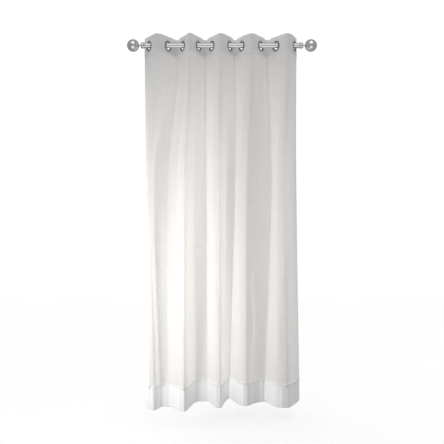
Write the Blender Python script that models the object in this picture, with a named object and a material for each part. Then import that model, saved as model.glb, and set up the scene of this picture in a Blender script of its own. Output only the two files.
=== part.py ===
"""Sheer voile eyelet curtain hanging from its metal rod.

Frame: the origin is on the rod's axis, half-way along it. +X runs to the right seen from the
front, -Y points to the viewer and +Z is up. Sizes are in metres. In plan, "front" is how far a
point lies in front of the rod's axis, so a point's y is minus its front.
"""
import math
from collections import namedtuple

import bmesh
import bpy
import numpy as np
from mathutils import Matrix

# Clearance between pieces that touch on the real curtain
GAP = 0.0003

# Cloth
CLOTH_WIDTH = 1.400
HEADING_TOP = 0.0445
HEADING_BOTTOM = -0.0450
CLOTH_BOTTOM = -1.781
HEM_HEIGHT = 0.110
PANEL_THICKNESS = 0.0012
HEM_THICKNESS = 0.0022
HEM_STEP = 0.0015
HEADING_THICKNESS = 0.0024

# Eyelets, spaced evenly along the flat heading
EYELET_PITCH = 0.145
RING_BORE = 0.0175
RING_WEB = 0.0204
RING_FLANGE = 0.0262
RING_THICKNESS = 0.0080
RING_LIP = 0.0016
RING_STEPS = 20

# Rod and its end fittings
ROD_RADIUS = 0.0125
COLLAR_RADIUS = 0.0146
COLLAR_LENGTH = 0.0200
COLLAR_WALL = 0.0030
COLLAR_END = 0.4015
NECK_RADIUS = 0.0050
BALL_RADIUS = 0.0300
BALL_X = 0.4400

# How far an eyelet's middle hangs below the rod's axis. The eyelets are oblique to the rod, so
# their bores rest on its upper sides and not on its top.
ROD_HANG = 0.0031

# Folding of the heading. Each eyelet lies in a straight stretch of cloth at an angle to the rod.
# The cloth comes forward through the first eyelet, back through the second, and so on.
FLAT_HALF = 0.0310
CREASE_ANGLE = 22.0
EDGE_CURL = 16.0

# x: where the eyelet sits on the rod. angle: of its plane to the rod, in degrees.
# lean: how far the turn after it stands to the right of the middle between two eyelets.
Eyelet = namedtuple("Eyelet", "x angle lean")
EYELETS = (
    Eyelet(-0.3600, 56.0, -0.002),
    Eyelet(-0.2677, 55.0, 0.006),
    Eyelet(-0.1937, 58.7, -0.002),
    Eyelet(-0.1171, 60.0, -0.001),
    Eyelet(-0.0492, 57.7, -0.003),
    Eyelet(0.0378, 59.4, -0.006),
    Eyelet(0.0984, 58.0, 0.004),
    Eyelet(0.1916, 54.0, -0.003),
    Eyelet(0.2688, 54.5, 0.001),
    Eyelet(0.3583, 66.0, 0.000),
)

# Folding lower down, seen in plan: a row for each fold from left to right. The foot is the valley
# on the fold's left, or the cloth's left edge. The shoulder ends its steep left face, and the
# crest is the corner where its right face begins, and the back mark is where that face turns into
# the next valley. flatness: 0 makes the faces between the marks soft and round, 1 makes them flat
# with sharp corners.
Fold = namedtuple(
    "Fold", "foot_x foot_front shoulder_x shoulder_front crest_x crest_front back_x back_front"
)
Level = namedtuple("Level", "height flatness folds edge_x edge_front")
MIDDLE = Level(
    -0.640,
    0.55,
    (
        Fold(-0.3730, 0.022, -0.3600, 0.050, -0.3450, 0.058, -0.3280, 0.022),
        Fold(-0.2640, 0.010, -0.2200, 0.030, -0.1770, 0.076, -0.1400, -0.030),
        Fold(-0.0790, -0.084, -0.0518, 0.010, -0.0113, 0.034, 0.0240, -0.040),
        Fold(0.0680, -0.066, 0.0880, -0.050, 0.1250, -0.034, 0.1960, -0.062),
        Fold(0.2560, -0.084, 0.2710, 0.006, 0.3098, 0.022, 0.3440, -0.030),
    ),
    0.3790,
    -0.070,
)
BOTTOM = Level(
    CLOTH_BOTTOM,
    0.20,
    (
        Fold(-0.3715, 0.050, -0.3490, 0.066, -0.3213, 0.072, -0.2963, 0.018),
        Fold(-0.2688, 0.016, -0.2234, 0.057, -0.1807, 0.096, -0.1273, -0.061),
        Fold(-0.0739, -0.066, -0.0279, 0.033, -0.0083, 0.040, 0.0167, -0.060),
        Fold(0.0361, -0.122, 0.0874, -0.011, 0.1204, 0.009, 0.1707, -0.043),
        Fold(0.2163, -0.062, 0.2675, 0.026, 0.3227, 0.037, 0.3638, -0.024),
    ),
    0.3954,
    -0.090,
)

# How far along the heading's cloth from a crest to the next valley the back mark lies
BACK_SHARE = 0.6

# Mesh columns of the panel between foot, shoulder, crest, back and the next foot
COLUMNS = (5, 4, 4, 3)
PANEL_ROWS = 15
HEM_ROWS = 3

# Colour, metallic, roughness, alpha
Finish = namedtuple("Finish", "colour metallic roughness alpha")
VOILE = Finish((0.90, 0.89, 0.87), 0.0, 0.85, 0.75)
HEADING_CLOTH = Finish((0.62, 0.62, 0.63), 0.0, 0.80, 1.0)
SATIN_METAL = Finish((0.60, 0.60, 0.61), 1.0, 0.35, 1.0)
BRIGHT_METAL = Finish((0.72, 0.72, 0.73), 1.0, 0.15, 1.0)


def clear_scene():
    for item in list(bpy.data.objects):
        bpy.data.objects.remove(item, do_unlink=True)


def material(name, finish):
    made = bpy.data.materials.new(name)
    made.use_nodes = True
    shader = made.node_tree.nodes["Principled BSDF"]
    shader.inputs["Base Color"].default_value = (*finish.colour, 1.0)
    shader.inputs["Metallic"].default_value = finish.metallic
    shader.inputs["Roughness"].default_value = finish.roughness
    shader.inputs["Alpha"].default_value = finish.alpha
    return made


def add_object(name, mesh, finish=None):
    item = bpy.data.objects.new(name, mesh)
    bpy.context.collection.objects.link(item)
    if finish is not None and not mesh.materials:
        mesh.materials.append(material(name, finish))
    return item


def plan_length(points):
    return float(np.linalg.norm(np.diff(points, axis=0), axis=1).sum())


def solve(measure, target, low, high):
    """The value between low and high at which a rising measure reaches the target."""
    for _ in range(50):
        middle = (low + high) / 2
        if measure(middle) < target:
            low = middle
        else:
            high = middle
    return (low + high) / 2


def heading_direction(index):
    """Which way the cloth runs in plan through an eyelet, as (x, front)."""
    angle = math.radians(EYELETS[index].angle)
    forward = 1 if index % 2 == 0 else -1
    return np.array((math.cos(angle), forward * math.sin(angle)))


def half_turn(start, direction, end, end_direction, steps=12):
    """A soft curve in plan that leaves start along one direction and reaches end along another."""
    reach = np.linalg.norm(end - start)
    t = np.linspace(0, 1, steps + 1)[:, None]
    return (
        (2 * t**3 - 3 * t**2 + 1) * start
        + (t**3 - 2 * t**2 + t) * reach * direction
        + (3 * t**2 - 2 * t**3) * end
        + (t**3 - t**2) * reach * end_direction
    )


def heading_turn(index):
    """The cloth's crest or valley between an eyelet and the next one, as plan points."""
    leaving = heading_direction(index)
    arriving = heading_direction(index + 1)
    start = np.array((EYELETS[index].x, 0.0)) + FLAT_HALF * leaving
    end = np.array((EYELETS[index + 1].x, 0.0)) - FLAT_HALF * arriving
    side = 1 if index % 2 == 0 else -1
    crease = math.radians(CREASE_ANGLE if side > 0 else 0.0)
    turn_x = (start[0] + end[0]) / 2 + EYELETS[index].lean

    def curve(depth):
        top = np.array((turn_x, side * depth))
        rising = np.array((math.cos(crease), math.sin(crease)))
        falling = np.array((math.cos(crease), -math.sin(crease)))
        first = half_turn(start, leaving, top, rising)
        second = half_turn(top, falling, end, arriving)
        return np.vstack((first, second[1:]))

    slack = EYELET_PITCH - 2 * FLAT_HALF
    depth = solve(lambda d: plan_length(curve(d)), slack, abs(start[1]), abs(start[1]) + slack)
    return curve(depth)


def turned_by(direction, degrees):
    angle = math.radians(degrees)
    return np.array(
        (
            direction[0] * math.cos(angle) - direction[1] * math.sin(angle),
            direction[0] * math.sin(angle) + direction[1] * math.cos(angle),
        )
    )


def heading_plan():
    """The whole heading in plan, from its left edge to its right edge."""
    last = len(EYELETS) - 1
    beyond = (CLOTH_WIDTH - last * EYELET_PITCH) / 2 - FLAT_HALF
    first_flat = np.array((EYELETS[0].x, 0.0)) - FLAT_HALF * heading_direction(0)
    last_flat = np.array((EYELETS[last].x, 0.0)) + FLAT_HALF * heading_direction(last)
    pieces = [(first_flat - beyond * heading_direction(0))[None, :]]
    for index in range(last):
        pieces.append(heading_turn(index))
    pieces[1] = np.vstack((first_flat, pieces[1]))
    pieces.append(last_flat[None, :])
    pieces.append((last_flat + beyond * turned_by(heading_direction(last), -EDGE_CURL))[None, :])
    return np.vstack(pieces)


def along(points, distances):
    """Points of a plan line at the given distances from its left end."""
    steps = np.linalg.norm(np.diff(points, axis=0), axis=1)
    run = np.concatenate(((0.0,), np.cumsum(steps)))
    return np.stack([np.interp(distances, run, points[:, axis]) for axis in (0, 1)], axis=1)


def columns_between(marks):
    """Distances that split each span of the marks evenly into the panel's columns."""
    parts = []
    for span, (start, end) in enumerate(zip(marks, marks[1:])):
        count = COLUMNS[span % len(COLUMNS)]
        parts.append(np.linspace(start, end, count + 1)[:-1])
    return np.concatenate((*parts, (marks[-1],)))


def heading_columns():
    """The heading's plan points at the panel's columns."""
    margin = (CLOTH_WIDTH - (len(EYELETS) - 1) * EYELET_PITCH) / 2
    marks = []
    for index in range(0, len(EYELETS), 2):
        eyelet = margin + index * EYELET_PITCH
        foot = eyelet - EYELET_PITCH / 2 if index else 0.0
        crest = eyelet + EYELET_PITCH / 2
        end = min(crest + EYELET_PITCH, CLOTH_WIDTH)
        marks += [foot, eyelet + FLAT_HALF, crest, crest + BACK_SHARE * (end - crest)]
    marks.append(CLOTH_WIDTH)
    plan = heading_plan()
    share = plan_length(plan) / CLOTH_WIDTH
    return along(plan, columns_between(marks) * share)


def fold_span(before, start, end, after, count, flatness):
    """Points from start towards end: a soft curve through all four marks, drawn in to the flat face."""
    knots = [0.0]
    for a, b in ((before, start), (start, end), (end, after)):
        knots.append(knots[-1] + max(np.linalg.norm(b - a), 1e-6) ** 0.5)
    t0, t1, t2, t3 = knots
    t = np.linspace(t1, t2, count + 1)[:-1, None]
    a1 = (t1 - t) / (t1 - t0) * before + (t - t0) / (t1 - t0) * start
    a2 = (t2 - t) / (t2 - t1) * start + (t - t1) / (t2 - t1) * end
    a3 = (t3 - t) / (t3 - t2) * end + (t - t2) / (t3 - t2) * after
    b1 = (t2 - t) / (t2 - t0) * a1 + (t - t0) / (t2 - t0) * a2
    b2 = (t3 - t) / (t3 - t1) * a2 + (t - t1) / (t3 - t1) * a3
    soft = (t2 - t) / (t2 - t1) * b1 + (t - t1) / (t2 - t1) * b2
    return soft + flatness * (a2 - soft)


def level_columns(level):
    """The plan points of a lower level at the panel's columns."""
    marks = []
    for fold in level.folds:
        marks.append((fold.foot_x, fold.foot_front))
        marks.append((fold.shoulder_x, fold.shoulder_front))
        marks.append((fold.crest_x, fold.crest_front))
        marks.append((fold.back_x, fold.back_front))
    marks.append((level.edge_x, level.edge_front))
    marks = np.array(marks)
    padded = np.vstack((2 * marks[0] - marks[1], marks, 2 * marks[-1] - marks[-2]))
    parts = []
    for span in range(len(marks) - 1):
        count = COLUMNS[span % len(COLUMNS)]
        parts.append(fold_span(*padded[span : span + 4], count, level.flatness))
    parts.append(marks[-1:])
    return np.vstack(parts)


def to_length(points):
    """The same plan line with its folds made deeper or flatter until it is as long as the cloth."""
    def scaled(depth):
        return points * np.array((1.0, depth))

    depth = solve(lambda d: plan_length(scaled(d)), CLOTH_WIDTH, 0.5, 2.0)
    return scaled(depth)


def panel_plan(height, levels):
    """The panel in plan at a height, between the heading, the middle and the bottom levels."""
    (top_z, top), (middle_z, middle), (bottom_z, bottom) = levels
    middle_slope = (bottom - top) / (bottom_z - top_z)
    bottom_slope = (bottom - middle) / (bottom_z - middle_z)
    if height >= middle_z:
        start_z, start, start_slope = top_z, top, np.zeros_like(top)
        end_z, end, end_slope = middle_z, middle, middle_slope
    else:
        start_z, start, start_slope = middle_z, middle, middle_slope
        end_z, end, end_slope = bottom_z, bottom, bottom_slope
    run = end_z - start_z
    t = (height - start_z) / run
    points = (
        (2 * t**3 - 3 * t**2 + 1) * start
        + (t**3 - 2 * t**2 + t) * run * start_slope
        + (3 * t**2 - 2 * t**3) * end
        + (t**3 - t**2) * run * end_slope
    )
    return to_length(points)


def plan_normals(points):
    """Unit normals in plan that point to the front, mitred at each point."""
    steps = np.diff(points, axis=0)
    steps /= np.linalg.norm(steps, axis=1)[:, None]
    before = np.vstack((steps[:1], steps))
    after = np.vstack((steps, steps[-1:]))
    mean = before + after
    mean /= np.linalg.norm(mean, axis=1)[:, None]
    mitre = 1 / np.maximum((mean * before).sum(axis=1), 0.7)
    return np.stack((-mean[:, 1], mean[:, 0]), axis=1) * mitre[:, None]


def sheet_mesh(name, rows):
    """A closed sheet from rows of (height, plan points, thickness), top row first."""
    sheet = bmesh.new()
    faces = []
    for side in (0.5, -0.5):
        grid = []
        for height, points, thickness in rows:
            shifted = points + side * thickness * plan_normals(points)
            grid.append([sheet.verts.new((x, -front, height)) for x, front in shifted])
        faces.append(grid)
    front, back = faces
    last_row = len(rows) - 1
    last_column = len(front[0]) - 1
    for r in range(last_row):
        for c in range(last_column):
            sheet.faces.new((front[r][c], front[r + 1][c], front[r + 1][c + 1], front[r][c + 1]))
            sheet.faces.new((back[r][c], back[r][c + 1], back[r + 1][c + 1], back[r + 1][c]))
        for c in (0, last_column):
            sheet.faces.new((front[r][c], back[r][c], back[r + 1][c], front[r + 1][c]))
    for c in range(last_column):
        for r in (0, last_row):
            sheet.faces.new((front[r][c], front[r][c + 1], back[r][c + 1], back[r][c]))
    bmesh.ops.recalc_face_normals(sheet, faces=sheet.faces)
    mesh = bpy.data.meshes.new(name)
    sheet.to_mesh(mesh)
    sheet.free()
    mesh.shade_smooth()
    mesh.set_sharp_from_angle(angle=math.radians(40))
    return mesh


def turned_mesh(name, profile, steps, closed=False):
    """A profile of (radius, distance along the axis) turned about the local Z axis."""
    turned = bmesh.new()
    verts = [turned.verts.new((radius, 0.0, offset)) for radius, offset in profile]
    edges = [turned.edges.new(pair) for pair in zip(verts, verts[1:])]
    if closed:
        edges.append(turned.edges.new((verts[-1], verts[0])))
    bmesh.ops.spin(
        turned, geom=verts + edges, cent=(0, 0, 0), axis=(0, 0, 1), angle=2 * math.pi, steps=steps
    )
    bmesh.ops.remove_doubles(turned, verts=turned.verts, dist=0.00001)
    bmesh.ops.recalc_face_normals(turned, faces=turned.faces)
    mesh = bpy.data.meshes.new(name)
    turned.to_mesh(mesh)
    turned.free()
    mesh.shade_smooth()
    mesh.set_sharp_from_angle(angle=math.radians(40))
    return mesh


def eyelet_matrix(index):
    """Places a piece turned about local Z in an eyelet, with local X up."""
    along_x, along_front = heading_direction(index)
    up = (0.0, 0.0, 1.0)
    run = (along_x, -along_front, 0.0)
    axis = (-run[1], run[0], 0.0)
    turn = Matrix((up, run, axis)).transposed().to_4x4()
    return Matrix.Translation((EYELETS[index].x, 0.0, -ROD_HANG)) @ turn


def add_panel():
    top = HEADING_BOTTOM - GAP
    hem_top = CLOTH_BOTTOM + HEM_HEIGHT
    levels = (
        (top, heading_columns()),
        (MIDDLE.height, to_length(level_columns(MIDDLE))),
        (BOTTOM.height, to_length(level_columns(BOTTOM))),
    )
    rows = []
    for height in np.linspace(top, hem_top + HEM_STEP, PANEL_ROWS):
        rows.append((height, panel_plan(height, levels), PANEL_THICKNESS))
    for height in np.linspace(hem_top, CLOTH_BOTTOM, HEM_ROWS):
        rows.append((height, panel_plan(height, levels), HEM_THICKNESS))
    add_object("voile_panel", sheet_mesh("voile_panel", rows), VOILE)


def hole_cutter():
    """Short plugs, one in each eyelet hole of the heading."""
    radius = (RING_WEB + GAP) / math.cos(math.pi / RING_STEPS)
    reach = RING_THICKNESS
    profile = ((0, -reach), (radius, -reach), (radius, reach), (0, reach))
    plug = turned_mesh("hole_plug", profile, RING_STEPS)
    plugs = bmesh.new()
    for index in range(len(EYELETS)):
        start = len(plugs.verts)
        plugs.from_mesh(plug)
        plugs.verts.ensure_lookup_table()
        bmesh.ops.transform(plugs, matrix=eyelet_matrix(index), verts=plugs.verts[start:])
    mesh = bpy.data.meshes.new("hole_cutter")
    plugs.to_mesh(mesh)
    plugs.free()
    cutter = add_object("hole_cutter", mesh)
    cutter.hide_render = True
    cutter.display_type = "WIRE"
    return cutter


def add_heading():
    plan = heading_plan()
    rows = [(height, plan, HEADING_THICKNESS) for height in (HEADING_TOP, HEADING_BOTTOM)]
    band = add_object("heading_band", sheet_mesh("heading_band", rows), HEADING_CLOTH)
    cut = band.modifiers.new("eyelet_holes", "BOOLEAN")
    cut.operation = "DIFFERENCE"
    cut.solver = "EXACT"
    cut.object = hole_cutter()


def add_rings():
    half = RING_THICKNESS / 2
    cloth_face = HEADING_THICKNESS / 2 + GAP
    crown = (RING_WEB + RING_FLANGE) / 2
    side = (
        (RING_WEB, cloth_face),
        (RING_FLANGE, cloth_face),
        (crown, half),
        (RING_BORE + RING_LIP, 0.7 * half),
        (RING_BORE, 0.2 * half),
    )
    profile = side + tuple((radius, -offset) for radius, offset in reversed(side))
    mesh = turned_mesh("eyelet_ring", profile, RING_STEPS, closed=True)
    for index in range(len(EYELETS)):
        ring = add_object(f"eyelet_ring_{index + 1:02d}", mesh, SATIN_METAL)
        ring.matrix_world = eyelet_matrix(index)


def add_rod():
    half = COLLAR_END - COLLAR_WALL - GAP
    profile = ((0, -half), (ROD_RADIUS, -half), (ROD_RADIUS, half), (0, half))
    rod = add_object("rod", turned_mesh("rod", profile, 32), BRIGHT_METAL)
    rod.rotation_euler = (0.0, math.pi / 2, 0.0)


def finial_meshes():
    """The collar and the ball of the right end, turned about an axis that points outwards."""
    bore = ROD_RADIUS + GAP
    soft = 0.0015
    mouth = COLLAR_END - COLLAR_LENGTH
    bottom = COLLAR_END - COLLAR_WALL
    collar = (
        (0.0, bottom),
        (bore, bottom),
        (bore, mouth),
        (COLLAR_RADIUS - soft / 2, mouth),
        (COLLAR_RADIUS, mouth + soft),
        (COLLAR_RADIUS, COLLAR_END - 2 * soft),
        (COLLAR_RADIUS - 2 * soft, COLLAR_END),
        (0.0, COLLAR_END),
    )
    neck_angle = math.asin(NECK_RADIUS / BALL_RADIUS)
    ball = [(0.0, COLLAR_END + GAP), (NECK_RADIUS, COLLAR_END + GAP)]
    for angle in np.linspace(neck_angle, math.pi, 13):
        radius = BALL_RADIUS * max(math.sin(angle), 0.0)
        ball.append((radius, BALL_X - BALL_RADIUS * math.cos(angle)))
    return turned_mesh("finial_collar", collar, 24), turned_mesh("finial_ball", ball, 20)


def add_finials():
    collar, ball = finial_meshes()
    for name, outwards in (("left", -1), ("right", 1)):
        for kind, mesh in (("collar", collar), ("ball", ball)):
            item = add_object(f"finial_{kind}_{name}", mesh, BRIGHT_METAL)
            item.rotation_euler = (0.0, outwards * math.pi / 2, 0.0)


def main():
    clear_scene()
    add_rod()
    add_finials()
    add_rings()
    add_heading()
    add_panel()


main()
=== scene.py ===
"""Looks of a sheer voile eyelet curtain that hangs from its metal rod.

The origin is on the rod's axis, half-way along it. +X runs to the right seen from the front, -Y
points to the viewer and +Z is up. Sizes are in metres. In plan, "front" is how far a point lies
in front of the rod's axis, so a point's y is minus its front.
"""

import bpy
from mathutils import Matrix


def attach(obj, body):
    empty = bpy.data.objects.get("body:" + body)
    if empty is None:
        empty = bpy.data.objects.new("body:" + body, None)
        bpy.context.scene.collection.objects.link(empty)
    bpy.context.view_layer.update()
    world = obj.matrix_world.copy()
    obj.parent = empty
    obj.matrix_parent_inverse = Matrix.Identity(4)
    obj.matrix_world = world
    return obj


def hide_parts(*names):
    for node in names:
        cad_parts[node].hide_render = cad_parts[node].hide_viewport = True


bl_info = {
    "name": "Sheer Voile Curtain",
    "version": (1, 0, 0),
    "blender": (4, 5, 0),
    "location": "3D View > Sidebar > Curtain",
    "description": "Cloth, eyelets, rod and finials of a sheer voile curtain",
    "category": "Add Mesh",
}

import math
from collections import namedtuple

import bpy
import numpy as np
from bpy.props import FloatProperty, FloatVectorProperty, PointerProperty
from mathutils import Matrix, Vector

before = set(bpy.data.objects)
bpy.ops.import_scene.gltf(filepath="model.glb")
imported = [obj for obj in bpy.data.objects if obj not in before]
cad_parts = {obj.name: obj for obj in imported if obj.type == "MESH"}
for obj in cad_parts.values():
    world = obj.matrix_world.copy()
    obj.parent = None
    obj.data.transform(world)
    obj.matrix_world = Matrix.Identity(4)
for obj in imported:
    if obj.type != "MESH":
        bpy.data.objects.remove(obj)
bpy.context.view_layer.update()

# Cloth
CLOTH_WIDTH = 1.400
HEADING_TOP = 0.0445
HEADING_BOTTOM = -0.0450
CLOTH_BOTTOM = -1.781
HEM_HEIGHT = 0.110
HEADING_THICKNESS = 0.0024

# Stitching of the voile: length of a stitch with its gap, and distance from the hem's folded edge
STITCH_PITCH = 0.0030
STITCH_INSET = 0.003

# Eyelets, spaced evenly along the flat heading
EYELET_PITCH = 0.145
RING_BORE = 0.0175
RING_WEB = 0.0204
RING_FLANGE = 0.0262
RING_THICKNESS = 0.0080
HOLE_CLEARANCE = 0.0003

# Rod and its end fittings
ROD_RADIUS = 0.0125
ROD_HALF_LENGTH = 0.3982
COLLAR_RADIUS = 0.0146
COLLAR_LENGTH = 0.0200
COLLAR_WALL = 0.0030
COLLAR_END = 0.4015
NECK_RADIUS = 0.0050
BALL_RADIUS = 0.0300
BALL_X = 0.4400
FIT = 0.0003

# How far an eyelet's middle hangs below the rod's axis. The eyelets are oblique to the rod, so
# their bores rest on its upper sides and not on its top.
ROD_HANG = 0.0031

# Folding of the heading. Each eyelet lies in a straight stretch of cloth at an angle to the rod.
FLAT_HALF = 0.0310
CREASE_ANGLE = 22.0
EDGE_CURL = 16.0

# x: where the eyelet sits on the rod. angle: of its plane to the rod, in degrees.
# lean: how far the turn after it stands to the right of the middle between two eyelets.
Eyelet = namedtuple("Eyelet", "x angle lean")
EYELETS = (
    Eyelet(-0.3600, 56.0, -0.002),
    Eyelet(-0.2677, 55.0, 0.006),
    Eyelet(-0.1937, 58.7, -0.002),
    Eyelet(-0.1171, 60.0, -0.001),
    Eyelet(-0.0492, 57.7, -0.003),
    Eyelet(0.0378, 59.4, -0.006),
    Eyelet(0.0984, 58.0, 0.004),
    Eyelet(0.1916, 54.0, -0.003),
    Eyelet(0.2688, 54.5, 0.001),
    Eyelet(0.3583, 66.0, 0.000),
)

# Folding lower down, seen in plan: a row for each fold from left to right. The foot is the valley
# on the fold's left, or the cloth's left edge. The shoulder ends its steep left face, and the
# crest is the corner where its right face begins, and the back mark is where that face turns into
# the next valley. flatness: 0 makes the faces between the marks soft and round, 1 makes them flat
# with sharp corners.
Fold = namedtuple(
    "Fold", "foot_x foot_front shoulder_x shoulder_front crest_x crest_front back_x back_front"
)
Level = namedtuple("Level", "height flatness folds edge_x edge_front")
MIDDLE = Level(
    -0.640,
    0.55,
    (
        Fold(-0.3730, 0.022, -0.3600, 0.050, -0.3450, 0.058, -0.3280, 0.022),
        Fold(-0.2640, 0.010, -0.2200, 0.030, -0.1770, 0.076, -0.1400, -0.030),
        Fold(-0.0790, -0.084, -0.0518, 0.010, -0.0113, 0.034, 0.0240, -0.040),
        Fold(0.0680, -0.066, 0.0880, -0.050, 0.1250, -0.034, 0.1960, -0.062),
        Fold(0.2560, -0.084, 0.2710, 0.006, 0.3098, 0.022, 0.3440, -0.030),
    ),
    0.3790,
    -0.070,
)
BOTTOM = Level(
    CLOTH_BOTTOM,
    0.20,
    (
        Fold(-0.3715, 0.050, -0.3490, 0.066, -0.3213, 0.072, -0.2963, 0.018),
        Fold(-0.2688, 0.016, -0.2234, 0.057, -0.1807, 0.096, -0.1273, -0.061),
        Fold(-0.0739, -0.066, -0.0279, 0.033, -0.0083, 0.040, 0.0167, -0.060),
        Fold(0.0361, -0.122, 0.0874, -0.011, 0.1204, 0.009, 0.1707, -0.043),
        Fold(0.2163, -0.062, 0.2675, 0.026, 0.3227, 0.037, 0.3638, -0.024),
    ),
    0.3954,
    -0.090,
)

# How far along the heading's cloth from a crest to the next valley the back mark lies
BACK_SHARE = 0.6

# Creases of the voile. along: distance from the cloth's left edge where it starts. top: distance
# below the heading. run: how far down it goes. drift: how far it moves to the right on the way.
# width: half its breadth. depth: forward of the fold's own face, or behind if negative.
Crease = namedtuple("Crease", "along top run drift width depth")
CREASES = (
    Crease(1.285, 0.93, 0.11, 0.035, 0.0070, 0.0060),
    Crease(1.300, 1.02, 0.10, -0.030, 0.0065, -0.0050),
    Crease(1.270, 1.00, 0.16, 0.020, 0.0090, 0.0055),
    Crease(1.020, 0.98, 0.12, 0.020, 0.0070, 0.0060),
    Crease(1.005, 1.06, 0.14, -0.012, 0.0070, -0.0055),
    Crease(1.010, 0.60, 0.22, 0.010, 0.0090, 0.0035),
    Crease(0.985, 1.20, 0.25, 0.015, 0.0100, 0.0040),
    Crease(0.640, 0.85, 0.20, -0.010, 0.0100, 0.0030),
    Crease(0.665, 1.10, 0.24, 0.012, 0.0110, -0.0030),
    Crease(1.215, 1.25, 0.30, -0.010, 0.0130, 0.0035),
    Crease(1.330, 1.22, 0.22, -0.018, 0.0100, 0.0040),
    Crease(0.300, 0.70, 0.40, 0.008, 0.0140, 0.0020),
    Crease(0.130, 0.75, 0.45, -0.006, 0.0160, -0.0020),
)

# Soft lamps. power is in watts, and spread is the angle of the beam in degrees.
Lamp = namedtuple("Lamp", "name spot target width height power spread")
LAMPS = (
    Lamp("front_left_lamp", (-1.15, -0.62, -1.24), (-0.30, 0.0, -1.22), 0.9, 1.2, 3.5, 95.0),
    Lamp("back_lamp", (-0.80, 0.80, -1.10), (-0.2, 0.0, -1.10), 1.2, 0.6, 0.5, 100.0),
    Lamp("top_lamp", (-0.85, 0.50, -0.35), (-0.30, 0.0, -0.40), 0.8, 0.5, 0.50, 95.0),
)

# The surrounding light: its share from straight below and from straight above, the strength of
# the white ground that the camera sees, and what shiny metal sees, which is a dim room with soft
# bright panels. A panel fades out between the two distances of its edge, on a sphere of radius 1.
WHITE = (1.0, 1.0, 1.0, 1.0)
LIGHT_FROM_BELOW = 0.1
LIGHT_FROM_ABOVE = 1.9
GROUND_STRENGTH = 1.02
GLOSS_BASE = 0.28
PANEL_EDGE = (0.30, 0.52)
Panel = namedtuple("Panel", "direction strength")
GLOSS_PANELS = (
    Panel((0.0, -0.68, 0.73), 1.0),
    Panel((0.0, -0.68, -0.73), 0.8),
)
FLOOR_SIZE = 9.0
FLOOR_GLOW = 0.27
SENSOR_WIDTH = 36.0
LENS = 49.135

# Columns of the fine cloth between foot, shoulder, crest, back and the next foot
COLUMNS = (19, 17, 14, 12)
TURN_STEPS = 24

Mark = namedtuple("Mark", "radius offset")


def plan_length(points):
    return float(np.linalg.norm(np.diff(points, axis=0), axis=1).sum())


def solve(measure, target, low, high):
    """The value between low and high at which a rising measure reaches the target."""
    for _ in range(40):
        middle = (low + high) / 2
        if measure(middle) < target:
            low = middle
        else:
            high = middle
    return (low + high) / 2


def heading_direction(index):
    """Which way the cloth runs in plan through an eyelet, as (x, front)."""
    angle = math.radians(EYELETS[index].angle)
    forward = 1 if index % 2 == 0 else -1
    return np.array((math.cos(angle), forward * math.sin(angle)))


def sloped_curve(t, start, start_slope, end, end_slope):
    """A smooth curve from start at t = 0 to end at t = 1 that has the given slopes there."""
    return (
        (2 * t**3 - 3 * t**2 + 1) * start
        + (t**3 - 2 * t**2 + t) * start_slope
        + (3 * t**2 - 2 * t**3) * end
        + (t**3 - t**2) * end_slope
    )


def half_turn(start, direction, end, end_direction):
    """A soft curve in plan that leaves start along one direction and reaches end along another."""
    reach = np.linalg.norm(end - start)
    t = np.linspace(0, 1, TURN_STEPS + 1)[:, None]
    return sloped_curve(t, start, reach * direction, end, reach * end_direction)


def heading_turn(index):
    """The cloth's crest or valley between an eyelet and the next one, as plan points."""
    leaving = heading_direction(index)
    arriving = heading_direction(index + 1)
    start = np.array((EYELETS[index].x, 0.0)) + FLAT_HALF * leaving
    end = np.array((EYELETS[index + 1].x, 0.0)) - FLAT_HALF * arriving
    side = 1 if index % 2 == 0 else -1
    crease = math.radians(CREASE_ANGLE if side > 0 else 0.0)
    turn_x = (start[0] + end[0]) / 2 + EYELETS[index].lean

    def curve(depth):
        top = np.array((turn_x, side * depth))
        rising = np.array((math.cos(crease), math.sin(crease)))
        falling = np.array((math.cos(crease), -math.sin(crease)))
        first = half_turn(start, leaving, top, rising)
        second = half_turn(top, falling, end, arriving)
        return np.vstack((first, second[1:]))

    slack = EYELET_PITCH - 2 * FLAT_HALF
    depth = solve(lambda d: plan_length(curve(d)), slack, abs(start[1]), abs(start[1]) + slack)
    return curve(depth)


def turned_by(direction, degrees):
    angle = math.radians(degrees)
    return np.array(
        (
            direction[0] * math.cos(angle) - direction[1] * math.sin(angle),
            direction[0] * math.sin(angle) + direction[1] * math.cos(angle),
        )
    )


def heading_plan():
    """The whole heading in plan, from its left edge to its right edge."""
    last = len(EYELETS) - 1
    beyond = (CLOTH_WIDTH - last * EYELET_PITCH) / 2 - FLAT_HALF
    first_flat = np.array((EYELETS[0].x, 0.0)) - FLAT_HALF * heading_direction(0)
    last_flat = np.array((EYELETS[last].x, 0.0)) + FLAT_HALF * heading_direction(last)
    pieces = [(first_flat - beyond * heading_direction(0))[None, :]]
    for index in range(last):
        pieces.append(heading_turn(index))
    pieces[1] = np.vstack((first_flat, pieces[1]))
    pieces.append(last_flat[None, :])
    pieces.append((last_flat + beyond * turned_by(heading_direction(last), -EDGE_CURL))[None, :])
    return np.vstack(pieces)


def distances_of(points):
    steps = np.linalg.norm(np.diff(points, axis=0), axis=1)
    return np.concatenate(((0.0,), np.cumsum(steps)))


def sampled(values, run, distances):
    """Pairs of values that are known along a run, at other distances."""
    return np.stack([np.interp(distances, run, values[:, axis]) for axis in (0, 1)], axis=1)


def along(points, distances):
    """Points of a plan line at the given distances from its left end."""
    return sampled(points, distances_of(points), distances)


def columns_between(marks):
    """Distances that split each span of the marks evenly into the panel's columns."""
    parts = []
    for span, (start, end) in enumerate(zip(marks, marks[1:])):
        parts.append(np.linspace(start, end, COLUMNS[span % len(COLUMNS)] + 1)[:-1])
    return np.concatenate((*parts, (marks[-1],)))


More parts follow.
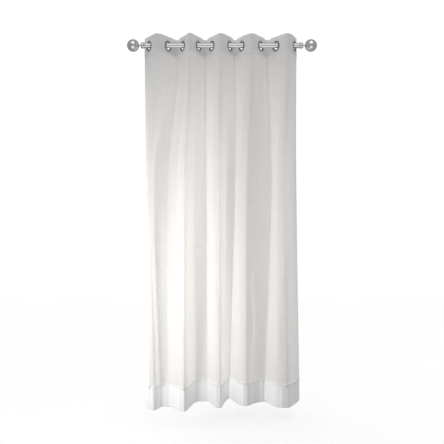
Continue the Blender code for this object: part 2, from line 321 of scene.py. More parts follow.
def heading_columns():
    """The heading's plan points at the panel's columns."""
    margin = (CLOTH_WIDTH - (len(EYELETS) - 1) * EYELET_PITCH) / 2
    marks = []
    for index in range(0, len(EYELETS), 2):
        eyelet = margin + index * EYELET_PITCH
        foot = eyelet - EYELET_PITCH / 2 if index else 0.0
        crest = eyelet + EYELET_PITCH / 2
        end = min(crest + EYELET_PITCH, CLOTH_WIDTH)
        marks += [foot, eyelet + FLAT_HALF, crest, crest + BACK_SHARE * (end - crest)]
    marks.append(CLOTH_WIDTH)
    plan = heading_plan()
    share = plan_length(plan) / CLOTH_WIDTH
    return along(plan, columns_between(marks) * share)


def fold_span(before, start, end, after, count, flatness):
    """Points from start towards end, on a soft curve through all four marks or nearer the chord."""
    knots = [0.0]
    for a, b in ((before, start), (start, end), (end, after)):
        knots.append(knots[-1] + max(np.linalg.norm(b - a), 1e-6) ** 0.5)
    t0, t1, t2, t3 = knots
    t = np.linspace(t1, t2, count + 1)[:-1, None]
    a1 = (t1 - t) / (t1 - t0) * before + (t - t0) / (t1 - t0) * start
    a2 = (t2 - t) / (t2 - t1) * start + (t - t1) / (t2 - t1) * end
    a3 = (t3 - t) / (t3 - t2) * end + (t - t2) / (t3 - t2) * after
    b1 = (t2 - t) / (t2 - t0) * a1 + (t - t0) / (t2 - t0) * a2
    b2 = (t3 - t) / (t3 - t1) * a2 + (t - t1) / (t3 - t1) * a3
    soft = (t2 - t) / (t2 - t1) * b1 + (t - t1) / (t2 - t1) * b2
    return soft + flatness * (a2 - soft)


def level_columns(level):
    """The plan points of a lower level at the panel's columns."""
    marks = []
    for fold in level.folds:
        marks += zip(fold[::2], fold[1::2])
    marks.append((level.edge_x, level.edge_front))
    marks = np.array(marks)
    padded = np.vstack((2 * marks[0] - marks[1], marks, 2 * marks[-1] - marks[-2]))
    parts = []
    for span in range(len(marks) - 1):
        count = COLUMNS[span % len(COLUMNS)]
        parts.append(fold_span(*padded[span : span + 4], count, level.flatness))
    parts.append(marks[-1:])
    return np.vstack(parts)


def to_length(points):
    """The same plan line with its folds made deeper or flatter until it is as long as the cloth."""
    def scaled(depth):
        return points * np.array((1.0, depth))

    depth = solve(lambda d: plan_length(scaled(d)), CLOTH_WIDTH, 0.5, 2.0)
    return scaled(depth)


def panel_plan(height, levels):
    """The panel in plan at a height, between the heading, the middle and the bottom levels."""
    (top_z, top), (middle_z, middle), (bottom_z, bottom) = levels
    middle_slope = (bottom - top) / (bottom_z - top_z)
    bottom_slope = (bottom - middle) / (bottom_z - middle_z)
    if height >= middle_z:
        start_z, start, start_slope = top_z, top, np.zeros_like(top)
        end_z, end, end_slope = middle_z, middle, middle_slope
    else:
        start_z, start, start_slope = middle_z, middle, middle_slope
        end_z, end, end_slope = bottom_z, bottom, bottom_slope
    run = end_z - start_z
    t = (height - start_z) / run
    return to_length(sloped_curve(t, start, run * start_slope, end, run * end_slope))


def plan_normals(points):
    """Unit normals in plan that point to the front."""
    run = np.gradient(points, axis=0)
    run /= np.linalg.norm(run, axis=1)[:, None]
    return np.stack((-run[:, 1], run[:, 0]), axis=1)


def smooth_step(value):
    value = np.clip(value, 0.0, 1.0)
    return value * value * (3 - 2 * value)


def waves(distance, *parts):
    """A sum of uneven waves along the cloth, each given as (length, height, start)."""
    total = np.zeros_like(distance)
    for length, height, start in parts:
        total += height * np.sin(2 * math.pi * (distance / length + start))
    return total


def crease_depth(distance, drop):
    """How far the creases push the voile forward at a place on the cloth."""
    total = np.zeros_like(distance)
    for crease in CREASES:
        share = (drop - crease.top) / crease.run
        middle = crease.along + crease.drift * share
        across = (distance - middle) / crease.width
        lengthwise = smooth_step(share / 0.3) * smooth_step((1 - share) / 0.3)
        total += crease.depth * np.exp(-across * across) * lengthwise
    return total


def surface_normals(points):
    """Unit normals of a grid of points, to the front where rows run down and columns right."""
    down = np.gradient(points, axis=0)
    across = np.gradient(points, axis=1)
    normals = np.cross(down, across)
    return normals / np.linalg.norm(normals, axis=2)[:, :, None]


def shell(name, points, thickness, cloth_map):
    """A closed cloth of the given thickness about a grid of points, with its own cloth map."""
    half = (np.zeros(points.shape[:2]) + thickness)[:, :, None] / 2
    normals = surface_normals(points)
    rows, columns = points.shape[:2]
    count = rows * columns
    sides = (points + half * normals, points - half * normals)
    verts = np.vstack([side.reshape(-1, 3) for side in sides])
    index = np.arange(count).reshape(rows, columns)
    a, b, c, d = index[:-1, :-1], index[1:, :-1], index[1:, 1:], index[:-1, 1:]
    front = np.stack((a, b, c, d), axis=-1).reshape(-1, 4)
    back = np.stack((a, d, c, b), axis=-1).reshape(-1, 4) + count
    rims = []
    for line, turned in ((index[0], 0), (index[-1], 1), (index[:, 0], 1), (index[:, -1], 0)):
        near, far = (line[:-1], line[1:]) if turned else (line[1:], line[:-1])
        rims.append(np.stack((near, near + count, far + count, far), axis=-1))
    faces = np.vstack((front, back, *rims))
    mesh = bpy.data.meshes.new(name)
    mesh.from_pydata(verts, [], faces.tolist())
    layer = mesh.uv_layers.new(name="cloth_map")
    flat = np.vstack((cloth_map.reshape(-1, 2), cloth_map.reshape(-1, 2)))
    corners = np.empty(len(mesh.loops), dtype=np.int64)
    mesh.loops.foreach_get("vertex_index", corners)
    layer.data.foreach_set("uv", flat[corners].ravel())
    mesh.shade_smooth()
    mesh.set_sharp_from_angle(angle=math.radians(50))
    mesh.validate()
    item = bpy.data.objects.new(name, mesh)
    bpy.context.collection.objects.link(item)
    return item


def finished(item, material, nodes):
    """Gives a finished piece its material, hangs it on the root body and hides the CAD parts that
    it replaces.
    """
    item.data.materials.clear()
    item.data.materials.append(material)
    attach(item, "root")
    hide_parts(*nodes)
    return item


def alone():
    """Leaves nothing selected, ready for a new piece."""
    if bpy.context.object is not None and bpy.context.object.mode != "OBJECT":
        bpy.ops.object.mode_set(mode="OBJECT")
    bpy.ops.object.select_all(action="DESELECT")


def turned_piece(name, profile, steps, closed=False):
    """A piece turned about the local Z axis: a ring of edges is drawn out from mark to mark."""
    alone()
    first = profile[0]
    bpy.ops.mesh.primitive_circle_add(vertices=steps, radius=first.radius, location=(0, 0, 0))
    item = bpy.context.object
    item.name = name
    item.data.name = name
    bpy.ops.object.mode_set(mode="EDIT")
    bpy.ops.mesh.select_mode(type="VERT")
    bpy.ops.mesh.select_all(action="SELECT")
    bpy.ops.transform.translate(value=(0, 0, first.offset))
    marks = (*profile, first) if closed else profile
    for before, mark in zip(marks, marks[1:]):
        step = (0, 0, mark.offset - before.offset)
        bpy.ops.mesh.extrude_region_move(TRANSFORM_OT_translate={"value": step})
        grow = mark.radius / before.radius
        bpy.ops.transform.resize(value=(grow, grow, 1.0))
    bpy.ops.mesh.select_all(action="SELECT")
    bpy.ops.mesh.remove_doubles(threshold=0.000005)
    if not closed:
        bpy.ops.mesh.select_all(action="SELECT")
        bpy.ops.mesh.fill_holes(sides=0)
    bpy.ops.mesh.select_all(action="SELECT")
    bpy.ops.mesh.normals_make_consistent(inside=False)
    bpy.ops.object.mode_set(mode="OBJECT")
    return item


def only(item):
    """Leaves one piece selected and active."""
    alone()
    item.select_set(True)
    bpy.context.view_layer.objects.active = item


def place(item, matrix):
    """Moves a piece to its place and settles the place into its mesh."""
    only(item)
    item.matrix_world = matrix
    bpy.ops.object.transform_apply(location=True, rotation=True, scale=True)


def copy_of(item, name):
    """A copy with a mesh of its own."""
    only(item)
    bpy.ops.object.duplicate(linked=False)
    made = bpy.context.object
    made.name = name
    made.data.name = name
    return made


def smooth_by_angle(item, degrees):
    only(item)
    bpy.ops.object.shade_smooth_by_angle(angle=math.radians(degrees))


def apply_modifier(item, modifier):
    only(item)
    bpy.ops.object.modifier_apply(modifier=modifier.name)


def both_ends(model, piece, finish):
    """Puts a copy of a piece, turned about local Z, on each end of the rod."""
    for side, outwards in (("left", -1), ("right", 1)):
        item = copy_of(model, f"{piece}_{side}")
        place(item, Matrix.Rotation(outwards * math.pi / 2, 4, "Y"))
        smooth_by_angle(item, 40)
        finished(item, finish, [f"finial_{piece}_{side}"])
    bpy.data.objects.remove(model, do_unlink=True)


def eyelet_matrix(index):
    """Places a piece turned about local Z in an eyelet, with local X up."""
    along_x, along_front = heading_direction(index)
    up = (0.0, 0.0, 1.0)
    run = (along_x, -along_front, 0.0)
    axis = (-run[1], run[0], 0.0)
    turn = Matrix((up, run, axis)).transposed().to_4x4()
    return Matrix.Translation((EYELETS[index].x, 0.0, -ROD_HANG)) @ turn


class NodePlan:
    """The nodes of a new material or world, added one by one."""

    def __init__(self, owner, output="ShaderNodeOutputMaterial"):
        self.owner = owner
        owner.use_nodes = True
        self.tree = owner.node_tree
        self.tree.nodes.clear()
        self.output = self.tree.nodes.new(output)

    def add(self, kind, values=None, **settings):
        """A node with its settings. values: a plain value or a node's output for each input."""
        node = self.tree.nodes.new(kind)
        for key, setting in settings.items():
            setattr(node, key, setting)
        for key, value in (values or {}).items():
            if isinstance(value, bpy.types.NodeSocket):
                self.tree.links.new(value, node.inputs[key])
            else:
                node.inputs[key].default_value = value
        return node

    def maths(self, operation, first, second=0.0, third=0.0):
        values = {0: first, 1: second, 2: third}
        return self.add("ShaderNodeMath", values, operation=operation).outputs[0]

    def ramp(self, value, low, high, start=0.0, end=1.0):
        """Rises or falls softly from start to end while the value goes from low to high."""
        values = {0: value, 1: low, 2: high, 3: start, 4: end}
        kind = "ShaderNodeMapRange"
        return self.add(kind, values, interpolation_type="SMOOTHSTEP").outputs[0]

    def stretched_noise(self, vector, scale, detail=2.0):
        """Noise drawn out by different amounts along each direction."""
        kind = "ShaderNodeMapping"
        mapping = self.add(kind, {"Vector": vector, "Scale": scale}, vector_type="POINT")
        noise = {"Vector": mapping.outputs[0], "Scale": 1.0, "Detail": detail}
        return self.add("ShaderNodeTexNoise", noise).outputs["Fac"]

    def mixed_colour(self, factor, first, second):
        node = self.add("ShaderNodeMix", data_type="RGBA")
        for socket, value in ((0, factor), (6, first), (7, second)):
            if isinstance(value, bpy.types.NodeSocket):
                self.tree.links.new(value, node.inputs[socket])
            else:
                node.inputs[socket].default_value = value
        return node.outputs[2]

    def shared(self, first, second, factor):
        """Both shaders mixed: factor is the second one's share."""
        node = self.add("ShaderNodeMixShader", {0: factor})
        self.tree.links.new(first.outputs[0], node.inputs[1])
        self.tree.links.new(second.outputs[0], node.inputs[2])
        return node.outputs[0]

    def finish(self, shader):
        self.tree.links.new(shader, self.output.inputs["Surface"])
        return self.owner


def opaque(colour):
    return (*colour, 1.0)


def stitches(plan, along_seam, across_seam, seams, pitch):
    """A mask of one line of stitches for each seam, given by its distance across."""
    dash = plan.maths("FRACT", plan.maths("DIVIDE", along_seam, pitch))
    from_middle = plan.maths("ABSOLUTE", plan.maths("SUBTRACT", dash, 0.5))
    dash = plan.ramp(from_middle, 0.28, 0.38, 1.0, 0.0)
    total = None
    for seam in seams:
        gap = plan.maths("ABSOLUTE", plan.maths("SUBTRACT", across_seam, seam))
        line = plan.ramp(gap, 0.0003, 0.0007, 1.0, 0.0)
        total = line if total is None else plan.maths("MAXIMUM", total, line)
    return plan.maths("MULTIPLY", total, dash)


def weave(plan, cloth_map, pitch):
    """Crossing threads: bright where a thread stands up, dark in the holes between them."""
    period = 0.314159 / pitch
    waves_across = []
    for direction in ("X", "Y"):
        values = {"Vector": cloth_map, "Scale": period, "Distortion": 0.0, "Detail": 0.0}
        kind = "ShaderNodeTexWave"
        node = plan.add(kind, values, wave_type="BANDS", bands_direction=direction)
        waves_across.append(node.outputs["Fac"])
    return plan.maths("MAXIMUM", *waves_across)


def slubs(plan, cloth_map):
    """Uneven threads: long faint streaks across the cloth and down it."""
    weft = plan.stretched_noise(cloth_map, (14.0, 900.0, 1.0))
    warp = plan.stretched_noise(cloth_map, (900.0, 9.0, 1.0))
    return plan.maths("MULTIPLY", plan.maths("ADD", weft, warp), 0.5)


def voile_material(cloth, seam_drop):
    """Sheer voile: fine crossing threads that pass light, with stitched hems."""
    plan = NodePlan(bpy.data.materials.new("voile"))
    cloth_map = plan.add("ShaderNodeUVMap", uv_map="cloth_map").outputs[0]
    split = plan.add("ShaderNodeSeparateXYZ", {0: cloth_map})
    across, drop = split.outputs[0], split.outputs[1]
    threads = weave(plan, cloth_map, cloth.thread_pitch)
    streaks = slubs(plan, cloth_map)
    hem_stitch = stitches(plan, across, drop, seam_drop, STITCH_PITCH)
    side_lines = (cloth.side_hem - 0.002, CLOTH_WIDTH - cloth.side_hem + 0.002)
    side_stitch = stitches(plan, drop, across, side_lines, STITCH_PITCH)
    stitch = plan.maths("MAXIMUM", hem_stitch, side_stitch)
    light = opaque(cloth.colour)
    deep = opaque([0.93 * part for part in cloth.colour])
    tone = plan.ramp(streaks, 0.35, 0.65)
    doubled = plan.ramp(drop, seam_drop[0] - 0.0035, seam_drop[0] - 0.0025)
    from_middle = plan.maths("ABSOLUTE", plan.maths("SUBTRACT", across, CLOTH_WIDTH / 2))
    side_mark = CLOTH_WIDTH / 2 - cloth.side_hem
    turned_back = plan.ramp(from_middle, side_mark - 0.0005, side_mark + 0.0005, 0.0, 0.45)
    doubled = plan.maths("MAXIMUM", doubled, turned_back)
    colour = plan.mixed_colour(tone, deep, light)
    colour = plan.mixed_colour(doubled, colour, opaque(cloth.hem_colour))
    height = plan.maths("ADD", plan.maths("MULTIPLY", threads, 0.5), streaks)
    height = plan.maths("ADD", height, stitch)
    bump = {"Height": height, "Strength": 0.25, "Distance": 0.0002}
    normal = plan.add("ShaderNodeBump", bump).outputs[0]
    values = {"Base Color": colour, "Normal": normal, "Roughness": 0.85}
    values |= {"Sheen Weight": 0.15, "Sheen Roughness": 0.4, "Specular IOR Level": 0.2}
    front = plan.add("ShaderNodeBsdfPrincipled", values)
    through = plan.add("ShaderNodeBsdfTranslucent", {"Color": colour, "Normal": normal})
    glow = plan.ramp(doubled, 0.0, 1.0, cloth.glow, cloth.hem_glow)
    cloth_light = plan.shared(front, through, glow)
    holes = plan.ramp(threads, 0.2, 0.9, 1.0, 0.0)
    open_share = plan.maths("MULTIPLY_ADD", holes, 0.25, 0.75)
    open_share = plan.maths("MULTIPLY", open_share, plan.ramp(streaks, 0.3, 0.7, 1.15, 0.85))
    open_share = plan.maths("MULTIPLY", open_share, cloth.openness)
    open_share = plan.maths("MULTIPLY", open_share, plan.maths("SUBTRACT", 1.0, stitch))
    open_share = plan.maths("MULTIPLY", open_share, plan.ramp(doubled, 0.0, 1.0, 1.0, 0.5))
    gaps = plan.add("ShaderNodeBsdfTransparent")
    return plan.finish(plan.shared(cloth_light.node, gaps, open_share))


def heading_material(heading):
    """Stiffened heading cloth: a close weave with two lines of stitches at its foot."""
    plan = NodePlan(bpy.data.materials.new("heading_cloth"))
    cloth_map = plan.add("ShaderNodeUVMap", uv_map="cloth_map").outputs[0]
    split = plan.add("ShaderNodeSeparateXYZ", {0: cloth_map})
    threads = weave(plan, cloth_map, heading.thread_pitch)
    streaks = slubs(plan, cloth_map)
    depth = HEADING_TOP - HEADING_BOTTOM
    lines = (depth - 0.0035, depth - 0.0095)
    stitch = stitches(plan, split.outputs[0], split.outputs[1], lines, heading.stitch_pitch)
    light = opaque(heading.colour)
    deep = opaque([0.90 * part for part in heading.colour])
    colour = plan.mixed_colour(plan.ramp(streaks, 0.35, 0.65), deep, light)
    # Painted highlight: the lowest few millimetres of the strip get a lighter colour, so the seam
    # reads as a bright line.
    bead = plan.ramp(split.outputs[1], depth - 0.0055, depth - 0.0040)
    colour = plan.mixed_colour(bead, colour, opaque(heading.seam_highlight_colour))
    height = plan.maths("ADD", plan.maths("MULTIPLY", threads, 0.6), streaks)
    height = plan.maths("MULTIPLY_ADD", stitch, -1.5, height)
    bump = {"Height": height, "Strength": 0.4, "Distance": 0.0003}
    normal = plan.add("ShaderNodeBump", bump).outputs[0]
    rough = plan.ramp(streaks, 0.3, 0.7, 0.62, 0.82)
    values = {"Base Color": colour, "Normal": normal, "Roughness": rough}
    values |= {"Sheen Weight": 0.2, "Sheen Roughness": 0.35}
    front = plan.add("ShaderNodeBsdfPrincipled", values)
    through = plan.add("ShaderNodeBsdfTranslucent", {"Color": colour, "Normal": normal})
    cloth_light = plan.shared(front, through, heading.glow)
    open_share = plan.maths("MULTIPLY", plan.ramp(threads, 0.2, 0.9, 1.4, 0.8), heading.openness)
    gaps = plan.add("ShaderNodeBsdfTransparent")
    return plan.finish(plan.shared(cloth_light.node, gaps, open_share))


def metal_material(name, colour, roughness, grain, swirl):
    """Bright metal. grain: stretch of its fine polishing marks. swirl: depth of broad dents."""
    plan = NodePlan(bpy.data.materials.new(name))
    place_on = plan.add("ShaderNodeTexCoord").outputs["Object"]
    marks = plan.stretched_noise(place_on, grain, 3.0)
    broad = plan.stretched_noise(place_on, (55.0, 55.0, 55.0), 1.5)
    tone = plan.ramp(marks, 0.3, 0.7)
    dull = opaque([0.94 * part for part in colour])
    shade = plan.mixed_colour(tone, dull, opaque(colour))
    rough = plan.ramp(marks, 0.25, 0.75, 0.85 * roughness, 1.25 * roughness)
    fine = {"Height": marks, "Strength": 0.1, "Distance": 0.00002}
    fine_bump = plan.add("ShaderNodeBump", fine).outputs[0]
    soft = {"Height": broad, "Strength": 1.0, "Distance": swirl, "Normal": fine_bump}
    normal = plan.add("ShaderNodeBump", soft).outputs[0]
    values = {"Base Color": shade, "Roughness": rough, "Normal": normal, "Metallic": 1.0}
    return plan.finish(plan.add("ShaderNodeBsdfPrincipled", values).outputs[0])


def colour_setting(name, description, default):
    kind = {"subtype": "COLOR", "min": 0.0, "max": 1.0}
    return FloatVectorProperty(name=name, description=description, default=default, **kind)


def share_setting(name, description, default):
    kind = {"subtype": "FACTOR", "min": 0.0, "max": 1.0}
    return FloatProperty(name=name, description=description, default=default, **kind)


def length_setting(name, description, default):
    return FloatProperty(name=name, description=description, default=default, unit="LENGTH")


def plain_setting(name, description, default):
    return FloatProperty(name=name, description=description, default=default)


class VoileSettings(bpy.types.PropertyGroup):
    colour: colour_setting("Colour", "Colour of the voile's threads", (0.965, 0.952, 0.940))
    openness: share_setting(
        "Openness", "Share of light that passes straight through one face of the cloth", 0.22
    )
    glow: share_setting(
        "Glow", "Share of the remaining light that the threads send on to the other side", 0.40
    )
    hem_colour: colour_setting(
        "Hem colour", "Colour of the doubled cloth of the bottom hem", (0.985, 0.985, 0.985)
    )
    hem_glow: share_setting(
        "Hem glow", "Share of light that the hem's threads send on to the other side", 0.12
    )
    thickness: length_setting("Thickness", "Thickness of one layer of voile", 0.0006)
    fold_step: length_setting(
        "Hem step", "Distance between the middles of two layers that are folded together", 0.0009
    )
    side_hem: length_setting("Side hem", "Width turned back at each side edge", 0.024)
    thread_pitch: length_setting("Thread pitch", "Distance between neighbouring threads", 0.0007)
    hem_ripple: length_setting(
        "Hem ripple", "Depth of the soft upright ripples of the bottom hem", 0.0010
    )
    pucker: length_setting("Pucker", "How far the cloth stands in and out along its seams", 0.0011)


class HeadingSettings(bpy.types.PropertyGroup):
    colour: colour_setting("Colour", "Colour of the stiffened heading", (0.96, 0.96, 0.955))
    glow: share_setting(
        "Glow", "Share of light that the heading's cloth sends on to the other side", 0.12
    )
    openness: share_setting(
        "Openness", "Share of light that passes straight through between its threads", 0.08
    )
    # Painted highlight: a lighter colour along the strip's sewn foot stands in for the seam's
    # bright line.
    seam_highlight_colour: colour_setting(
        "Seam colour",
        "Colour of the voile gathered over the strip's sewn foot",
        (0.99, 0.99, 0.985),
    )
    thread_pitch: length_setting("Thread pitch", "Distance between neighbouring threads", 0.0006)
    stitch_pitch: length_setting("Stitch pitch", "Distance from one stitch to the next", 0.0030)
    piping: length_setting(
        "Seam bead", "How much thicker the strip is along its sewn foot", 0.0020
    )


class MetalSettings(bpy.types.PropertyGroup):
    # Partly painted shade: the eyelets' satin metal is made dark grey, near the shaded grey of the
    # cloth by the heading, so their rims and bores read dark.
    ring_colour_with_painted_shade: colour_setting(
        "Eyelet colour", "Colour of the satin metal eyelets", (0.42, 0.42, 0.43)
    )
    rod_colour: colour_setting(
        "Rod colour", "Colour of the bright rod and its collars", (0.78, 0.78, 0.79)
    )
    ball_colour: colour_setting("Ball colour", "Colour of the ball finials", (0.95, 0.95, 0.95))


class StageSettings(bpy.types.PropertyGroup):
    floor_height: length_setting(
        "Floor height", "Height of the floor under the rod's axis", -1.850
    )
    camera_distance: length_setting(
        "Camera distance", "Distance of the camera in front of the rod", 3.0
    )
    camera_height: length_setting(
        "Camera height", "Height of the camera from the rod's axis", -0.8737
    )
    surround: plain_setting("Surround light", "Strength of the even light from all sides", 0.51)


class CURTAIN_OT_voile(bpy.types.Operator):
    """Hang the sheer voile panel, with its turned side hems and deep bottom hem"""

    bl_idname = "curtain.voile"
    bl_label = "Voile panel"

    def rows(self, step):
        """Each row's height, turn about the bottom edge from 0 to pi, and distance down."""
        length = HEADING_BOTTOM - CLOTH_BOTTOM
        hem = length - HEM_HEIGHT
        downs = np.concatenate(
            (
                np.linspace(0.0, 0.060, 11)[:-1],
                np.linspace(0.060, hem - 0.030, 78)[:-1],
                np.linspace(hem - 0.030, hem - 0.008, 7)[:-1],
                np.linspace(hem - 0.008, hem + 0.008, 13)[:-1],
                np.linspace(hem + 0.008, length, 14),
            )
        )
        rows = [(HEADING_BOTTOM - down, 0.0, down) for down in downs]
        for angle in np.linspace(0, math.pi, 5)[1:-1]:
            rows.append((CLOTH_BOTTOM, angle, length + 1.5 * step * angle))
        fold = 1.5 * step * math.pi
        for up in np.linspace(0.0, HEM_HEIGHT, 12):
            rows.append((CLOTH_BOTTOM + up, math.pi, length + fold + up))
        return rows

    def sides(self, cloth):
        """Columns of one turned-back side hem as (distance from the edge, turn from pi to 0)."""
        columns = [(distance, math.pi) for distance in np.linspace(cloth.side_hem, 0.0, 6)]
        columns += [(0.0, angle) for angle in np.linspace(math.pi, 0, 5)[1:-1]]
        return columns

    def execute(self, context):
        cloth = context.scene.voile
        step = cloth.fold_step
        top = HEADING_BOTTOM
        levels = (
            (top, heading_columns()),
            (MIDDLE.height, to_length(level_columns(MIDDLE))),
            (BOTTOM.height, to_length(level_columns(BOTTOM))),
        )
        rows = self.rows(step)
        left = self.sides(cloth)
        right = [(CLOTH_WIDTH - distance, turn) for distance, turn in reversed(left)]
        grid = []
        cloth_map = []
        for height, bottom_turn, down in rows:
            plan = panel_plan(height, levels)
            run = distances_of(plan)
            run *= CLOTH_WIDTH / run[-1]
            distance = np.concatenate(([d for d, _ in left], run, [d for d, _ in right]))
            side_turn = np.concatenate(
                ([t for _, t in left], np.zeros(len(run)), [t for _, t in right])
            )
            base = sampled(plan, run, distance)
            ahead = sampled(plan_normals(plan), run, distance)
            ahead /= np.linalg.norm(ahead, axis=1)[:, None]
            drop = HEADING_BOTTOM - height
            forward = crease_depth(distance, drop) + self.puckers(distance, drop, cloth)
            layer = step / 2 * (1 - np.cos(side_turn))
            beyond = step / 2 * np.sin(side_turn)
            outwards = np.where(distance < CLOTH_WIDTH / 2, -1.0, 1.0)
            fold = 1.5 * step - layer
            behind = 1.5 * step - fold * math.cos(bottom_turn)
            below = fold * math.sin(bottom_turn)
            edge_run = np.stack((ahead[:, 1], -ahead[:, 0]), axis=1) * (outwards * beyond)[:, None]
            spot = base + edge_run + ahead * (forward - behind)[:, None]
            grid.append(np.stack((spot[:, 0], -spot[:, 1], height - below), axis=1))
            side_run = np.where(side_turn > math.pi - 0.01, -1.0, 0.0)
            width = np.where(distance < CLOTH_WIDTH / 2, distance, CLOTH_WIDTH - distance)
            from_edge = np.where(side_run < 0, -width, width)
            across = np.where(distance < CLOTH_WIDTH / 2, from_edge, CLOTH_WIDTH - from_edge)
            cloth_map.append(np.stack((across, np.full_like(across, down)), axis=1))
        item = shell("curtain_voile", np.array(grid), cloth.thickness, np.array(cloth_map))
        seam = HEADING_BOTTOM - CLOTH_BOTTOM - HEM_HEIGHT
        turned = HEADING_BOTTOM - CLOTH_BOTTOM + 1.5 * step * math.pi + HEM_HEIGHT
        material = voile_material(cloth, (seam + STITCH_INSET, turned - STITCH_INSET))
        finished(item, material, ["voile_panel"])
        return {"FINISHED"}

    def puckers(self, distance, drop, cloth):
        """The gathered look beside the heading seam and on both sides of the hem stitching."""
        top = waves(distance, (0.0410, 1.0, 0.10), (0.0273, 0.7, 0.35), (0.0187, 0.5, 0.80))
        hem = waves(distance, (0.0330, 1.0, 0.60), (0.0217, 0.8, 0.05), (0.0149, 0.5, 0.45))
        near_top = math.exp(-drop / 0.030) * smooth_step(drop / 0.010)
        seam = drop - (HEADING_BOTTOM - CLOTH_BOTTOM - HEM_HEIGHT)
        near_hem = math.exp(-abs(seam) / 0.014)
        ridge = math.exp(-(((seam - 0.001) / 0.0034) ** 2)) * (1.0 + 0.35 * hem)
        ripples = waves(distance, (0.0470, 1.0, 0.30), (0.0310, 0.8, 0.70), (0.0210, 0.5, 0.15))
        in_hem = smooth_step(seam / 0.015)
        gathered = top * near_top + 0.9 * hem * near_hem + 2.6 * ridge
        return cloth.pucker * gathered + cloth.hem_ripple * ripples * in_hem


class CURTAIN_OT_heading(bpy.types.Operator):
    """Make the stiffened heading strip with its ten eyelet holes"""

    bl_idname = "curtain.heading"
    bl_label = "Heading strip"

    def execute(self, context):
        heading = context.scene.heading
        plan = heading_plan()
        total = plan_length(plan)
        distance = np.linspace(0.0, total, 421)
        base = along(plan, distance)
        ahead = plan_normals(base)
        depth = HEADING_TOP - HEADING_BOTTOM
        downs = np.concatenate(
            ((0.0, 0.0004, 0.0012, 0.0024), np.linspace(0.006, depth - 0.014, 18))
        )
        downs = np.concatenate((downs, np.linspace(depth - 0.011, depth - 0.001, 9), (depth,)))
        grid = []
        thickness = []
        cloth_map = []
        for down in downs:
            height = HEADING_TOP - down
            edge = math.sqrt(min(1.0, (down + 0.0001) / 0.0024))
            bead = heading.piping * math.exp(-(((depth - 0.003 - down) / 0.003) ** 2))
            crinkle = waves(distance, (0.0190, 1.0, 0.2), (0.0127, 0.8, 0.7), (0.0091, 0.6, 0.1))
            near_seam = math.exp(-(((depth - 0.006 - down) / 0.008) ** 2))
            forward = 0.0012 * crinkle * near_seam
            spot = base + ahead * forward[:, None]
            grid.append(np.stack((spot[:, 0], -spot[:, 1], np.full_like(distance, height)), axis=1))
            thickness.append(np.full_like(distance, HEADING_THICKNESS * edge + bead))
            cloth_map.append(np.stack((distance, np.full_like(distance, down)), axis=1))
        item = shell("curtain_heading", np.array(grid), np.array(thickness), np.array(cloth_map))
        self.cut_holes(item)
        finished(item, heading_material(heading), ["heading_band"])
        return {"FINISHED"}

    def cut_holes(self, item):
        """Cuts a round hole for each eyelet with a plug that is taken away afterwards."""
        radius = RING_WEB + HOLE_CLEARANCE
        reach = RING_THICKNESS
        plugs = []
        for index in range(len(EYELETS)):
            profile = (Mark(radius, -reach), Mark(radius, reach))
            plug = turned_piece(f"plug_{index}", profile, 64)
            place(plug, eyelet_matrix(index))
            plugs.append(plug)
        alone()
        for plug in plugs:
            plug.select_set(True)
        bpy.context.view_layer.objects.active = plugs[0]
        bpy.ops.object.join()
        cutter = bpy.context.object
        cut = item.modifiers.new("eyelet_holes", "BOOLEAN")
        cut.operation = "DIFFERENCE"
        cut.solver = "EXACT"
        cut.object = cutter
        apply_modifier(item, cut)
        bpy.data.objects.remove(cutter, do_unlink=True)


class CURTAIN_OT_eyelets(bpy.types.Operator):
    """Clasp a satin metal eyelet round each hole of the heading"""

    bl_idname = "curtain.eyelets"
    bl_label = "Eyelets"

    def execute(self, context):
        metal = context.scene.metal
        half = RING_THICKNESS / 2
        face = HEADING_THICKNESS / 2 + HOLE_CLEARANCE
        side = (
            Mark(RING_WEB, face),
            Mark(RING_FLANGE - 0.0012, face),
            Mark(RING_FLANGE, face + 0.0002),
            Mark(RING_FLANGE, face + 0.0010),
            Mark(RING_FLANGE - 0.0020, half - 0.0002),
            Mark(RING_WEB + 0.0008, half),
            Mark(RING_BORE + 0.0010, half - 0.0007),
            Mark(RING_BORE, half - 0.0022),
        )
        profile = side + tuple(Mark(mark.radius, -mark.offset) for mark in reversed(side))
        ring = turned_piece("eyelet_model", profile, 36, closed=True)
        soft = ring.modifiers.new("soft_rim", "SUBSURF")
        soft.levels = 2
        soft.render_levels = 2
        apply_modifier(ring, soft)
        smooth_by_angle(ring, 60)
        # The eyelets' dark colour is satin metal with painted shade for their dark rims and bores.
        finish = metal_material("ring_metal", metal.ring_colour_with_painted_shade, 0.30, (600.0, 600.0, 600.0), 0.0)
        for index in range(len(EYELETS)):
            name = f"eyelet_{index + 1:02d}"
            item = copy_of(ring, name)
            place(item, eyelet_matrix(index))
            finished(item, finish, [f"eyelet_ring_{index + 1:02d}"])
        bpy.data.objects.remove(ring, do_unlink=True)
        return {"FINISHED"}


class CURTAIN_OT_rod(bpy.types.Operator):
    """Make the bright round rod with chamfered ends"""

    bl_idname = "curtain.rod"
    bl_label = "Rod"

    def execute(self, context):
        metal = context.scene.metal
        profile = (
            Mark(ROD_RADIUS - 0.0022, -ROD_HALF_LENGTH),
            Mark(ROD_RADIUS - 0.0010, -ROD_HALF_LENGTH),
            Mark(ROD_RADIUS, -ROD_HALF_LENGTH + 0.0010),
            *(Mark(ROD_RADIUS, offset) for offset in np.linspace(-0.390, 0.390, 14)),
            Mark(ROD_RADIUS, ROD_HALF_LENGTH - 0.0010),
            Mark(ROD_RADIUS - 0.0010, ROD_HALF_LENGTH),
            Mark(ROD_RADIUS - 0.0022, ROD_HALF_LENGTH),
        )
        rod = turned_piece("rod_bar", profile, 96)
        place(rod, Matrix.Rotation(math.pi / 2, 4, "Y"))
        smooth_by_angle(rod, 35)
        finish = metal_material("rod_metal", metal.rod_colour, 0.12, (6.0, 420.0, 420.0), 0.0)
        finished(rod, finish, ["rod"])
        return {"FINISHED"}


